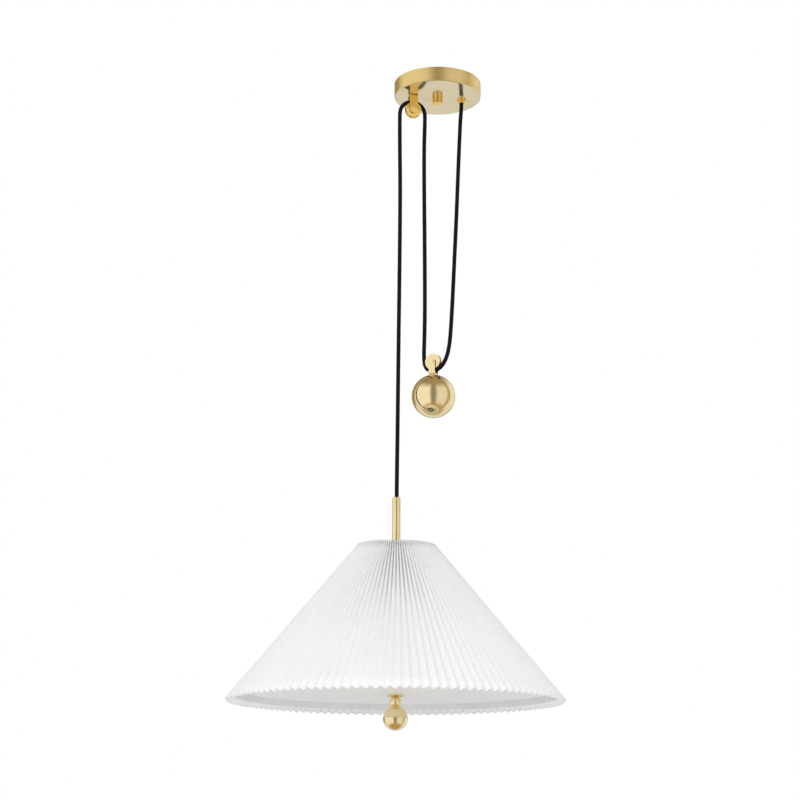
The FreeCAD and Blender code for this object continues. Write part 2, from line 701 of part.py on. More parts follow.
def inside_radius(height, stand_off):
    """The radius at a height, at a distance inwards from the inside of the valleys."""
    top_r, top_z, slope = frame_line()
    return top_r + (top_z - height) * math.tan(slope) - stand_off / math.cos(slope)


def shade_frame():
    """The wire top ring, the spider's arms and hub, the ribs and the bottom hoop."""
    wire_r = dim.wire_dia.value / 2
    stand_off = wire_r + dim.frame_gap.value
    ring_z = spider_base.value + dim.hub_plate_thick.value / 2
    ring_r = inside_radius(ring_z, stand_off)
    hoop_base = fold_lines()[1][1][1] + dim.hoop_lift.value
    hoop_top = hoop_base + dim.hoop_height.value
    slope = frame_line()[2]

    top_ring = doc.addObject("Part::Torus", "top_ring_wire")
    top_ring.Radius1 = ring_r
    bind(top_ring, Radius2=dim.wire_dia / 2)
    put(top_ring, (*shade_axis, spider_base + dim.hub_plate_thick / 2))
    keep(top_ring, "shade_top_ring")

    hub = cylinder("hub_plate", dim.hub_plate_dia / 2, dim.hub_plate_thick, (ZERO, ZERO, spider_base))
    arms, ribs = [hub], []
    lean = FreeCAD.Vector(math.sin(slope), 0, -math.cos(slope))
    rib_start = FreeCAD.Vector(ring_r, 0, ring_z) + lean * (wire_r + dim.fit_gap.value)
    rib_base = hoop_top + dim.fit_gap.value
    rib_length = (rib_start.z - rib_base) / math.cos(slope) + wire_r * 2
    for i in range(3):
        turn = FreeCAD.Rotation(Z_AXIS, 120 * i + 60)
        arm = doc.addObject("Part::Cylinder", f"arm_{i}")
        bind(arm, Radius=dim.wire_dia / 2)
        arm.Height = ring_r - wire_r - dim.frame_gap.value
        arm.Placement = FreeCAD.Placement(FreeCAD.Vector(0, 0, ring_z),
                                          FreeCAD.Rotation(Z_AXIS, turn.multVec(X_AXIS)))
        arms.append(arm)
        rib = doc.addObject("Part::Cylinder", f"rib_{i}")
        bind(rib, Radius=dim.wire_dia / 2)
        rib.Height = rib_length
        rib.Placement = FreeCAD.Placement(turn.multVec(rib_start),
                                          FreeCAD.Rotation(Z_AXIS, turn.multVec(lean)))
        ribs.append(rib)
    spider = cut("spider_cut", fuse("spider_fused", arms),
                 cylinder("spider_hole", nipple_hole, dim.hub_plate_thick, (ZERO, ZERO, spider_base)))
    keep(put(spider, (*shade_axis, ZERO)), "shade_spider")
    below = cylinder("below_ribs", dim.shade_bottom_dia / 2, wire_r * 4,
                     (ZERO, ZERO, rib_base - wire_r * 4))
    ribs = cut("ribs_cut", fuse("ribs_fused", ribs), below)
    keep(put(ribs, (*shade_axis, ZERO)), "shade_ribs")

    base_r = inside_radius(hoop_base, dim.frame_gap.value)
    top_r = inside_radius(hoop_top, dim.frame_gap.value)
    wall = dim.hoop_wall.value / math.cos(slope)
    band = [(base_r, hoop_base), (top_r, hoop_top), (top_r - wall, hoop_top),
            (base_r - wall, hoop_base)]
    profile = Part.makePolygon([FreeCAD.Vector(r, 0, z) for r, z in (*band, band[0])])
    hoop = doc.addObject("Part::Feature", "hoop_band")
    hoop.Shape = Part.Face(profile).revolve(FreeCAD.Vector(), Z_AXIS, 360)
    keep(put(hoop, (*shade_axis, ZERO)), "bottom_hoop")


def stem():
    """The stem: a cap that clamps the cord, a tube, and a nipple through the spider."""
    cap, tube = dim.stem_cap_height, dim.stem_length
    chamfer = dim.stem_dia / 20
    keep(turned("stem_cap_turned", (cord_hole, ZERO), [
        ("line", stem_r, ZERO),
        ("line", stem_r, cap - chamfer),
        ("line", stem_r - chamfer, cap),
        ("line", cord_hole, cap),
        ("line", cord_hole, ZERO),
    ], (*shade_axis, -(dim.stem_drop + cap))), "stem_cap")
    keep(ring("stem_tube_turned", stem_r, nipple_hole, tube, (*shade_axis, stem_base)),
         "stem_tube")
    up = dim.nipple_dia
    down = dim.hub_plate_thick + dim.cluster_wall + dim.nut_thick
    keep(ring("stem_nipple_turned", nipple_r, dim.nipple_bore / 2, up + down,
              (*shade_axis, stem_base - down)), "stem_nipple")
    nut("stem_locknut", dim.nut_flats, nipple_hole, dim.nut_thick,
        (*shade_axis, spider_base - dim.cluster_wall - dim.nut_thick))


# ---------------------------------------------------------------------------------------------
# Lamp cluster, diffuser and finial
# ---------------------------------------------------------------------------------------------
def lamp_cluster():
    """The cluster's body, a deep cup that hangs under the spider, and its lampholders."""
    wall, height, outer = dim.cluster_wall, dim.cluster_height, dim.cluster_dia / 2
    base = spider_base - height
    cup = turned("cluster_cup", (screw_hole, ZERO), [
        ("line", outer, ZERO),
        ("line", outer, height),
        ("line", nipple_hole, height),
        ("line", nipple_hole, height - wall),
        ("line", outer - wall, height - wall),
        ("line", outer - wall, wall),
        ("line", screw_hole, wall),
        ("line", screw_hole, ZERO),
    ], (ZERO, ZERO, base))
    apex = (ZERO, ZERO, spider_base - dim.lamp_apex)
    holes = []
    tilt = math.radians(dim.lamp_tilt.value)
    count = int(dim.lamp_count.value)
    for i in range(count):
        around = 2 * math.pi * i / count
        way = FreeCAD.Vector(math.cos(tilt) * math.cos(around),
                             math.cos(tilt) * math.sin(around), -math.sin(tilt))
        back = along(apex, way, dim.holder_start)
        holes.append(cylinder(f"holder_hole_{i}", dim.holder_dia / 2 + dim.fit_gap,
                              dim.holder_length, back, way))
        lampholder(i + 1, along((*shade_axis, apex[2]), way, dim.holder_start), way)
        lamp(i + 1, along((*shade_axis, apex[2]), way, dim.holder_start + dim.holder_length), way)
    body = cut("cluster_cut", cup, fuse("cluster_holes", holes))
    keep(put(body, (*shade_axis, ZERO)), "cluster_body")


def along(start, way, distance):
    """The point at a distance from another along a direction."""
    return (start[0] + distance * way.x, start[1] + distance * way.y, start[2] + distance * way.z)


def lampholder(number, back, way):
    """A lampholder: a cup with a centre contact on its floor."""
    outer, wall, long = dim.holder_dia / 2, dim.holder_wall, dim.holder_length
    floor = long - dim.cap_length - wall * 2
    contact = dim.cap_dia / 8
    keep(turned(f"holder_{number}", (ZERO, ZERO), [
        ("line", outer, ZERO),
        ("line", outer, long),
        ("line", outer - wall, long),
        ("line", outer - wall, floor),
        ("line", contact, floor),
        ("line", contact, floor + wall),
        ("line", ZERO, floor + wall),
        ("line", ZERO, ZERO),
    ], back, way), f"lampholder_{number}")


def lamp(number, mouth, way):
    """A globe lamp: its screw cap sits in the holder, and its glass is blown thin."""
    glass, cap_r, globe_r = dim.glass_wall, dim.cap_dia / 2, dim.globe_dia / 2
    long, wall, contact = dim.cap_length, dim.cap_wall, dim.cap_dia / 6
    keep(turned(f"cap_{number}", (ZERO, ZERO), [
        ("line", contact, ZERO),
        ("line", cap_r, contact),
        ("line", cap_r, long),
        ("line", cap_r - wall, long),
        ("line", cap_r - wall, contact + wall),
        ("line", contact, wall),
        ("line", ZERO, wall),
        ("line", ZERO, ZERO),
    ], along(mouth, way, -long), way), f"lamp_cap_{number}")
    inner_r = globe_r - glass
    neck_inner = cap_r - glass
    centre = dim.globe_length - globe_r
    outer_rise = root(globe_r * globe_r - cap_r * cap_r)
    inner_rise = root(inner_r * inner_r - neck_inner * neck_inner)
    keep(turned(f"globe_{number}", (neck_inner, ZERO), [
        ("line", cap_r, ZERO),
        ("line", cap_r, centre - outer_rise),
        ("arc", ZERO, centre, globe_r, ZERO, centre + globe_r, 1),
        ("line", ZERO, centre + inner_r),
        ("arc", ZERO, centre, inner_r, neck_inner, centre - inner_rise, -1),
        ("line", neck_inner, ZERO),
    ], mouth, way), f"lamp_glass_{number}")


def diffuser_and_finial():
    """The diffuser disc, the rod that carries it, and the finial that screws up under it."""
    under = dim.diffuser_lift - dim.shade_drop - dim.shade_height
    thick, dish = dim.diffuser_thick, dim.diffuser_dish
    stand_off = dim.frame_gap.value + dim.hoop_wall.value + dim.diffuser_gap.value
    edge = inside_radius((under + dish + thick).value, stand_off)
    curve = (edge * edge + dish * dish) / dish / 2
    hole_rise = curve - root(curve * curve - screw_hole * screw_hole)
    keep(turned("diffuser_turned", (screw_hole, hole_rise), [
        ("arc", ZERO, curve, curve, edge, dish, 1),
        ("line", edge, dish + thick),
        ("arc", ZERO, curve + thick, curve, screw_hole, hole_rise + thick, -1),
        ("line", screw_hole, hole_rise),
    ], (*shade_axis, under)), "diffuser")

    rod_hole = screw_r + dim.finial_gap
    neck_r, ball_r = dim.neck_dia / 2, dim.finial_dia / 2
    top_seat, low_seat = dim.neck_seat_dia / 2, dim.finial_seat_dia / 2
    neck_up = root(neck_r * neck_r - top_seat * top_seat)
    neck_down = root(neck_r * neck_r - low_seat * low_seat)
    ball_up = root(ball_r * ball_r - low_seat * low_seat)
    inner_r = ball_r - dim.finial_wall
    inner_up = root(inner_r * inner_r - rod_hole * rod_hole)
    washer_base = under - dim.washer_thick
    neck_base = washer_base - neck_up - neck_down

    bevel = dim.washer_thick / 5
    washer_r = dim.washer_dia / 2
    keep(turned("washer_turned", (rod_hole, ZERO), [
        ("line", washer_r - bevel, ZERO),
        ("line", washer_r, bevel),
        ("line", washer_r, dim.washer_thick),
        ("line", rod_hole, dim.washer_thick),
        ("line", rod_hole, ZERO),
    ], (*shade_axis, washer_base)), "finial_washer")
    keep(turned("neck_turned", (rod_hole, ZERO), [
        ("line", low_seat, ZERO),
        ("arc", ZERO, neck_down, neck_r, top_seat, neck_down + neck_up, 1),
        ("line", rod_hole, neck_down + neck_up),
        ("line", rod_hole, ZERO),
    ], (*shade_axis, neck_base)), "finial_neck")
    keep(turned("finial_turned", (ZERO, ZERO), [
        ("arc", ZERO, ball_r, ball_r, low_seat, ball_r + ball_up, 1),
        ("line", rod_hole, ball_r + ball_up),
        ("line", rod_hole, ball_r + inner_up),
        ("arc", ZERO, ball_r, inner_r, ZERO, dim.finial_wall, -1),
        ("line", ZERO, ZERO),
    ], (*shade_axis, neck_base - ball_r - ball_up)), "finial_ball")

    nut_base = spider_base - dim.cluster_height + dim.cluster_wall
    rod_top = nut_base + dim.nut_thick * 2
    rod_base = neck_base - dim.finial_wall * 2
    keep(cylinder("rod", screw_r, rod_top - rod_base, (*shade_axis, rod_base)), "centre_rod")
    nut("rod_locknut", dim.screw_nut_flats, screw_hole, dim.nut_thick, (*shade_axis, nut_base))


# ---------------------------------------------------------------------------------------------
# Cord
# ---------------------------------------------------------------------------------------------
# The cord's route, point by point down its middle.  The loop runs from inside the cord grip,
# down round the lower wheel and up to the top of the upper wheel; the drop goes on from there
# to the stem.
LOOP_ROUTE = [
    (44.5, 0, -18), (44.5, 0, -40), (42.4, 0, -64), (40.9, 0, -96), (38.6, 0, -148),
    (35.3, 0, -232), (31.0, -1.5, -316), (25.6, -7, -399), (20.5, -15, -455), (16.3, -20.5, -489),
    (12.6, -17.5, -510), (6.0, -11.6, -525.5), (-1.8, -4.7, -532.4), (-12.7, 5.0, -532.4),
    (-19.4, 10.9, -524.5), (-21.2, 12.5, -506), (-20.5, 11.8, -480), (-20.9, 6.5, -430),
    (-22.5, 1.5, -348), (-23.7, 0, -265), (-24.5, 0, -181), (-24.6, 0, -120), (-23.4, 0, -80),
    (-23.2, 0, -55.6), (-29.4, 0, -45.0), (-40.0, 0, -38.8), (-46.2, 0, -38.8),
]
DROP_ROUTE = [
    (-46.2, 0, -38.8), (-52.4, 0, -38.8), (-63.0, 0, -45.0), (-69.2, 0, -55.6),
    (-69.4, 0, -79), (-69.1, 0, -122), (-67.9, 0, -200), (-68.0, 0, -290), (-68.5, 0, -380),
    (-69.2, 0, -470), (-69.8, 0, -560), (-70.3, 0, -650), (-71.0, 0, -726), (-71.2, 0, -775),
]
SUPPLY_ROUTE = [
    (44.5, 0, -17.7), (44.5, 0, -12.2), (39, 5, -8.8), (29, 14, -7.6), (20, 23.5, -8.4),
    (9.2, 23.5, -8.6),
]
BEND_SHARE = 0.45  # how much of the shorter run beside a point its bend may take


def tube(label, route, radius):
    """A round tube along straight runs joined by tangent arcs as large as the runs allow."""
    points = [FreeCAD.Vector(*p) for p in route]
    edges, start, radii = [], points[0], []
    for before, corner, after in zip(points, points[1:], points[2:]):
        back, ahead = before - corner, after - corner
        reach = BEND_SHARE * min(back.Length, ahead.Length)
        back.normalize()
        ahead.normalize()
        half_turn = (math.pi - back.getAngle(ahead)) / 2
        radii.append(reach / math.tan(half_turn))
        first, last = corner + back * reach, corner + ahead * reach
        towards = (back + ahead).normalize()
        middle = corner + towards * (radii[-1] / math.cos(half_turn) - radii[-1])
        edges.append(Part.makeLine(start, first))
        edges.append(Part.Arc(first, middle, last).toShape())
        start = last
    edges.append(Part.makeLine(start, points[-1]))
    path = Part.Wire(edges)
    section = Part.Wire(Part.makeCircle(radius, points[0], points[1] - points[0]))
    solid = path.makePipeShell([section], True, False)
    share = solid.Volume / (math.pi * radius ** 2 * path.Length)
    print(label, "length", round(path.Length, 1), "volume share", round(share, 5),
          "radii", [round(r, 1) for r in radii])
    return solid


def keep_tubes(label, solids, at=ORIGIN):
    """One sub-part from one tube or from several that lie apart."""
    thing = doc.addObject("Part::Feature", label + "_tube")
    thing.Shape = solids[0] if len(solids) == 1 else Part.makeCompound(solids)
    keep(put(thing, at), label)


def cluster_leads():
    """The lampholders' leads, from the stem's nipple to the back of each holder."""
    tilt = math.radians(dim.lamp_tilt.value)
    wire_r = dim.lead_dia.value / 2
    apex_z = (spider_base - dim.lamp_apex).value
    nipple_z = (spider_base - dim.cluster_wall - dim.nut_thick).value
    gap = dim.frame_gap.value
    reach = dim.holder_start.value - gap
    leads = []
    for i in range(int(dim.lamp_count.value)):
        turn = FreeCAD.Rotation(Z_AXIS, math.degrees(2 * math.pi * i / dim.lamp_count.value))
        route = [(wire_r * 1.5, nipple_z - gap), (wire_r * 2.3, nipple_z - 6)]
        for share in (0.55, 1.0):
            route.append((reach * share * math.cos(tilt), apex_z - reach * share * math.sin(tilt)))
        points = [turn.multVec(FreeCAD.Vector(r, 0, z)) for r, z in route]
        leads.append(tube(f"cluster_lead_{i + 1}", points, wire_r))
    keep_tubes("cluster_leads", leads, (*shade_axis, ZERO))


# ---------------------------------------------------------------------------------------------
# The whole pendant
# ---------------------------------------------------------------------------------------------
crossbar()
canopy_fixing()
canopy_shell()
terminal_block()
cord_grip()
upper_pulley()
counterweight()
stem()
shade_frame()
pleated_shade()
lamp_cluster()
diffuser_and_finial()
cluster_leads()
keep_tubes("supply_lead", [tube("supply_lead", SUPPLY_ROUTE, dim.supply_dia.value / 2)])
keep_tubes("cord_loop", [tube("cord_loop", LOOP_ROUTE, cord_r.value)])
keep_tubes("cord_drop", [tube("cord_drop", DROP_ROUTE, cord_r.value)])
doc.recompute()

for thing in doc.Objects:
    if {"Invalid", "Error"} & set(thing.State):
        raise RuntimeError(f"{thing.Name} ({thing.Label}) failed: {thing.State}")
os.makedirs("parts", exist_ok=True)
for piece in pieces:
    if piece.Shape.isNull() or not piece.Shape.isValid():
        raise RuntimeError(f"{piece.Label} has no valid shape")
    piece.Shape.exportStep(f"parts/{piece.Label}.step")
print(len(pieces), "sub-parts")
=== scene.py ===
import json
import math
import random

import bmesh
import bpy
from mathutils import Matrix, Vector


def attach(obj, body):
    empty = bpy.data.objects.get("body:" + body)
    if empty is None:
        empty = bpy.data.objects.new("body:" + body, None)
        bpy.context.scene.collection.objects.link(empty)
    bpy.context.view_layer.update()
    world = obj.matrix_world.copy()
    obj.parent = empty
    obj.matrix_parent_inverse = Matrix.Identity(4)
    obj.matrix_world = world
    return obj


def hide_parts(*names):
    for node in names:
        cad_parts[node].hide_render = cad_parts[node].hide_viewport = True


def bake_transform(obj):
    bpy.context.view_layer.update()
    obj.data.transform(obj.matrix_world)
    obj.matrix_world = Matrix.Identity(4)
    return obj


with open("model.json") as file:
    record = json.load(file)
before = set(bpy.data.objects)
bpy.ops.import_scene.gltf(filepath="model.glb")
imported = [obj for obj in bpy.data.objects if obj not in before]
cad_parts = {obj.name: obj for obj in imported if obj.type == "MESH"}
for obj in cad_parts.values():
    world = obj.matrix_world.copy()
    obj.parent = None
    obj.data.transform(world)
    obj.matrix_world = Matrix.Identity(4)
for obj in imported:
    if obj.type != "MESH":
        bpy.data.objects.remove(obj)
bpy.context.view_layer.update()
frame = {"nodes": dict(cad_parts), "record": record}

# A rise-and-fall pendant.  Lengths are in metres, in the part's own frame: the origin is the
# centre of the ceiling canopy on the ceiling plane, and +Z is up.

RECORD = frame["record"]
NODES = frame["nodes"]


# ---------------------------------------------------------------------------------------------
# Sizes
# ---------------------------------------------------------------------------------------------
MM = 0.001
SHADE_X = -0.0712                # the shade's axis
CORD_DIAMETER = 0.007

PLEATS = 120
PLEAT_FACE = 0.0101              # width of one face of a pleat, from ridge to valley
RIDGE_TOP = (0.066, -0.8402)     # radius and height of the ridges' top ends
RIDGE_BOTTOM = (0.280, -1.0985)  # radius and height of the ridges' bottom ends
CLOTH = 0.00045                  # thickness of the pleated cloth
THREAD_PITCH = 0.0008            # distance in which the cloth's weave repeats


# ---------------------------------------------------------------------------------------------
# Shader writing
# ---------------------------------------------------------------------------------------------
class Shader:
    """A short way to write a node tree: each call makes a node and returns an output of it."""

    def __init__(self, tree, output_kind):
        self.tree = tree
        tree.nodes.clear()
        self.output = tree.nodes.new("ShaderNode" + output_kind)

    def make(self, kind, inputs=(), out=0, **settings):
        """A node of a kind.  inputs maps an input's name or number to a value or an output."""
        node = self.tree.nodes.new("ShaderNode" + kind)
        for name, value in settings.items():
            setattr(node, name, value)
        for key, value in dict(inputs).items():
            self.plug(node.inputs[key], value)
        return node.outputs[out]

    def plug(self, socket, value):
        """Links an output to an input, or sets the input to a value."""
        if isinstance(value, bpy.types.NodeSocket):
            self.tree.links.new(value, socket)
        else:
            socket.default_value = value

    def maths(self, operation, first, second=0.0, third=0.0):
        """The result of a sum on up to three values."""
        return self.make("Math", {0: first, 1: second, 2: third}, operation=operation)

    def place(self, scale=(1, 1, 1)):
        """The point on the object, stretched along each axis."""
        point = self.make("TexCoord", out=3)
        return self.make("Mapping", {"Vector": point, "Scale": scale})

    def noise(self, vector, scale, detail=3.0, roughness=0.55):
        """A value that drifts from place to place, about 0.5."""
        return self.make("TexNoise", {"Vector": vector, "Scale": scale, "Detail": detail,
                                      "Roughness": roughness})

    def ramp(self, value, low, high, to_low=0.0, to_high=1.0):
        """A value taken from one range to another, without going past its ends."""
        return self.make("MapRange", {"Value": value, "From Min": low, "From Max": high,
                                      "To Min": to_low, "To Max": to_high})

    def blend(self, share, first, second):
        """A colour between two others."""
        node = self.tree.nodes.new("ShaderNodeMix")
        node.data_type = "RGBA"
        self.plug(node.inputs[0], share)
        self.plug(node.inputs[6], first)
        self.plug(node.inputs[7], second)
        return node.outputs[2]

    def stops(self, value, colours):
        """A colour that a value from 0 to 1 picks between (place, colour) pairs."""
        node = self.tree.nodes.new("ShaderNodeValToRGB")
        ends = node.color_ramp.elements
        for place, colour in colours[1:-1]:
            ends.new(place)
        for stop, (place, colour) in zip(ends, colours):
            stop.position = place
            stop.color = rgb(*colour)
        self.plug(node.inputs[0], value)
        return node.outputs[0]

    def bump(self, height, distance, strength=1.0, normal=None):
        """The normal of a surface raised by a height times a distance."""
        inputs = {"Height": height, "Distance": distance, "Strength": strength}
        if normal is not None:
            inputs["Normal"] = normal
        return self.make("Bump", inputs)

    def surface(self, **inputs):
        """The principled surface; an input's spaces are written as underscores."""
        named = {name.replace("_", " "): value for name, value in inputs.items()}
        self.plug(self.output.inputs["Surface"], self.make("BsdfPrincipled", named))


def material(name):
    """A new material and the writer of its node tree."""
    made = bpy.data.materials.new(name)
    made.use_nodes = True
    return made, Shader(made.node_tree, "OutputMaterial")


def rgb(red, green, blue):
    """A colour with full opacity."""
    return (red, green, blue, 1.0)


# ---------------------------------------------------------------------------------------------
# Materials
# ---------------------------------------------------------------------------------------------
# Each brass is clouded between two tones.
BRASS_PALE = (rgb(0.91, 0.755, 0.445), rgb(0.86, 0.69, 0.37))     # polished, low on the lamp
BRASS_RICH = (rgb(0.89, 0.63, 0.20), rgb(0.85, 0.56, 0.14))       # polished, under the canopy
BRASS_BRUSHED = (rgb(0.72, 0.50, 0.16), rgb(0.87, 0.68, 0.33))    # the canopy's side
BRASS_FACED = (rgb(0.80, 0.67, 0.42), rgb(0.75, 0.62, 0.375))     # the canopy's underside
RICH_ABOVE = -0.10               # height from which the polished brass is rich
PALE_BELOW = -0.14               # height below which it is pale


def polished_brass(name, roughness):
    """Lacquered brass: slow clouds of tone, faint turning marks, a few fine hairline marks.  The
    pieces under the canopy are coloured a deeper, richer gold than the pieces further down."""
    made, s = material(name)
    clouds = s.noise(s.place(), 45.0)
    height = s.make("SeparateXYZ", {0: s.place()}, out=2)
    pale = s.blend(s.ramp(clouds, 0.35, 0.7), *BRASS_PALE)
    rich = s.blend(s.ramp(clouds, 0.35, 0.7), *BRASS_RICH)
    colour = s.blend(s.ramp(height, PALE_BELOW, RICH_ABOVE), pale, rich)
    hairs = s.noise(s.place((40, 40, 900)), 3.0, detail=4.0)
    fine = s.noise(s.place(), 900.0, detail=2.0)
    rough = s.ramp(clouds, 0.3, 0.75, roughness * 0.8, roughness * 1.3)
    bump = s.bump(hairs, 0.00001, 0.35)
    bump = s.bump(fine, 0.000004, 0.3, bump)
    s.surface(Base_Color=colour, Metallic=1.0, Roughness=rough, Normal=bump)
    return made


def brushed_brass():
    """The canopy: its side is brushed round and round, and its underside is polished."""
    made, s = material("brushed_brass")
    normal = s.make("TexCoord", out=1)
    upright = s.make("SeparateXYZ", {0: normal}, out=2)
    flat = s.ramp(s.maths("ABSOLUTE", upright), 0.55, 0.9)
    streaks = s.noise(s.place((5, 5, 2600)), 1.0, detail=5.0, roughness=0.7)
    broad = s.noise(s.place((4, 4, 500)), 1.0, detail=3.0)
    clouds = s.noise(s.place(), 30.0)
    tone = s.maths("ADD", s.ramp(streaks, 0.3, 0.7, 0.0, 0.7), s.ramp(broad, 0.3, 0.7, 0.0, 0.3))
    brushed = s.blend(tone, *BRASS_BRUSHED)
    plain = s.blend(s.ramp(clouds, 0.35, 0.7), *BRASS_FACED)
    side_rough = s.ramp(streaks, 0.25, 0.75, 0.26, 0.42)
    rough = s.maths("MULTIPLY_ADD", flat, s.maths("SUBTRACT", 0.13, side_rough), side_rough)
    height = s.maths("MULTIPLY", streaks, s.maths("SUBTRACT", 1.0, flat))
    bump = s.bump(height, 0.00003, 0.5)
    metallic = s.ramp(flat, 0.0, 1.0, 1.0, 0.86)
    s.surface(Base_Color=s.blend(flat, brushed, plain), Metallic=metallic, Roughness=rough,
              Normal=bump)
    return made


def zinc_steel():
    """Zinc-plated steel: mottled, with the grain of drawn stock."""
    made, s = material("zinc_steel")
    clouds = s.noise(s.place(), 160.0)
    colour = s.blend(clouds, rgb(0.52, 0.53, 0.54), rgb(0.70, 0.69, 0.66))
    grain = s.noise(s.place((200, 200, 1400)), 1.0)
    s.surface(Base_Color=colour, Metallic=1.0, Roughness=s.ramp(clouds, 0.3, 0.7, 0.26, 0.42),
              Normal=s.bump(grain, 0.00002, 0.4))
    return made


def mottled_metal(name, scale, low, high, smooth, rough):
    """Bare metal whose tone, gloss and surface all follow the same small clouds."""
    made, s = material(name)
    clouds = s.noise(s.place(), scale)
    s.surface(Base_Color=s.blend(clouds, low, high), Metallic=1.0,
              Roughness=s.ramp(clouds, 0.3, 0.7, smooth, rough),
              Normal=s.bump(clouds, 0.00002, 0.4))
    return made


def painted(name, low, high, roughness):
    """Powder coat, enamel or moulded plastic: an even colour with a fine orange-peel skin."""
    made, s = material(name)
    clouds = s.noise(s.place(), 25.0)
    peel = s.noise(s.place(), 1400.0, detail=2.0)
    rough = s.ramp(clouds, 0.3, 0.7, roughness * 0.88, roughness * 1.12)
    s.surface(Base_Color=s.blend(s.ramp(clouds, 0.3, 0.7), low, high), Roughness=rough,
              Normal=s.bump(peel, 0.00003, 0.4))
    return made


def pleated_cloth():
    """Stiffened ivory cloth: a plain weave across and along the pleats, with slubs."""
    made, s = material("pleated_cloth")
    uv = s.make("UVMap", uv_map="cloth")
    across = s.make("SeparateXYZ", {0: uv}, out=0)
    along = s.make("SeparateXYZ", {0: uv}, out=1)
    warp = s.maths("SINE", s.maths("MULTIPLY", across, math.tau / THREAD_PITCH))
    weft = s.maths("SINE", s.maths("MULTIPLY", along, math.tau / THREAD_PITCH))
    weave = s.maths("MULTIPLY", warp, weft)
    stretch = s.make("Mapping", {"Vector": uv, "Scale": (900, 60, 1)})
    slubs = s.noise(stretch, 1.0, detail=4.0)
    clouds = s.noise(s.place(), 14.0)
    tone = s.maths("ADD", s.ramp(slubs, 0.3, 0.7, 0.0, 0.35), s.ramp(clouds, 0.3, 0.7, 0.0, 0.65))
    colour = s.blend(tone, rgb(0.94, 0.94, 0.936), rgb(0.965, 0.965, 0.96))
    bump = s.bump(weave, 0.00006, 0.25)
    bump = s.bump(slubs, 0.00008, 0.25, bump)
    s.surface(Base_Color=colour, Roughness=0.9, Normal=bump, Sheen_Weight=0.10,
              Sheen_Roughness=0.5)
    return made


def opal(name, low, high, roughness):
    """Opal acrylic or glass: even, with a soft gloss."""
    made, s = material(name)
    clouds = s.noise(s.place(), 9.0)
    ripple = s.noise(s.place(), 60.0, detail=2.0)
    rough = s.ramp(clouds, 0.3, 0.7, roughness * 0.85, roughness * 1.15)
    s.surface(Base_Color=s.blend(s.ramp(clouds, 0.3, 0.7), low, high), Roughness=rough,
              Normal=s.bump(ripple, 0.00005, 0.15))
    return made


def braid_cloth():
    """Black rayon braid: each carrier is a flat band of fine threads."""
    made, s = material("braid_cloth")
    uv = s.make("UVMap", uv_map="braid")
    stretch = s.make("Mapping", {"Vector": uv, "Scale": (4000, 260, 1)})
    threads = s.noise(stretch, 1.0, detail=3.0)
    wear = s.noise(s.place(), 70.0)
    colour = s.blend(s.ramp(threads, 0.35, 0.75), rgb(0.003, 0.003, 0.004),
                     rgb(0.010, 0.010, 0.014))
    rough = s.ramp(wear, 0.3, 0.7, 0.55, 0.75)
    s.surface(Base_Color=colour, Roughness=rough, Normal=s.bump(threads, 0.00008, 0.5),
              Specular_IOR_Level=0.14)
    return made


def lead_sleeve():
    """The ribbed sleeve of the leads inside the lamp, with painted shade in the grooves between
    its ribs.
    """
    made, s = material("lead_sleeve")
    rib_height_and_groove_shade = s.make("TexWave", {"Vector": s.place(), "Scale": 400.0, "Distortion": 1.0})
    # The colour follows the ribs and is darker in the grooves between them: painted shade.
    colour = s.blend(rib_height_and_groove_shade, rgb(0.50, 0.49, 0.46), rgb(0.66, 0.65, 0.61))
    s.surface(Base_Color=colour, Roughness=0.6, Normal=s.bump(rib_height_and_groove_shade, 0.00005, 0.4))
    return made


MATERIALS = {
    "brushed_brass": brushed_brass(),
    "polished_brass": polished_brass("polished_brass", 0.10),
    "bush_bronze": mottled_metal("oiled_bronze", 220.0, rgb(0.30, 0.17, 0.08),
                                 rgb(0.52, 0.33, 0.16), 0.30, 0.5),
    "zinc_steel": zinc_steel(),
    "frame_paint": painted("frame_paint", rgb(0.80, 0.80, 0.79), rgb(0.86, 0.86, 0.85), 0.45),
    # The hoop is the same white paint as the frame; its greyer tone is painted shade for its
    # place inside the shade's rim.
    "hoop_paint": painted("hoop_paint", rgb(0.70, 0.70, 0.695), rgb(0.76, 0.76, 0.755), 0.5),
    "shade_fabric": pleated_cloth(),
    "cord_fabric": braid_cloth(),
    "lead_fabric": lead_sleeve(),
    "holder_plastic": painted("holder_plastic", rgb(0.76, 0.75, 0.72), rgb(0.83, 0.82, 0.79),
                              0.4),
    "terminal_plastic": painted("terminal_plastic", rgb(0.70, 0.69, 0.65),
                                rgb(0.78, 0.77, 0.73), 0.45),
    "lamp_cap_metal": mottled_metal("lamp_cap_metal", 120.0, rgb(0.66, 0.66, 0.65),
                                    rgb(0.82, 0.82, 0.80), 0.22, 0.36),
    "lamp_glass": opal("lamp_glass", rgb(0.86, 0.86, 0.85), rgb(0.90, 0.90, 0.89), 0.12),
    "cluster_metal": painted("cluster_metal", rgb(0.76, 0.76, 0.74), rgb(0.84, 0.84, 0.82),
                             0.35),
    "diffuser_acrylic": opal("diffuser_acrylic", rgb(0.87, 0.87, 0.865),
                             rgb(0.90, 0.90, 0.895), 0.38),
}


def dress_nodes():
    """Gives each node of the frame the material of its slot."""
    for row in RECORD["subparts"]:
        node = NODES[row["node"]]
        node.data.materials.clear()
        node.data.materials.append(MATERIALS[row["material_slot"]])


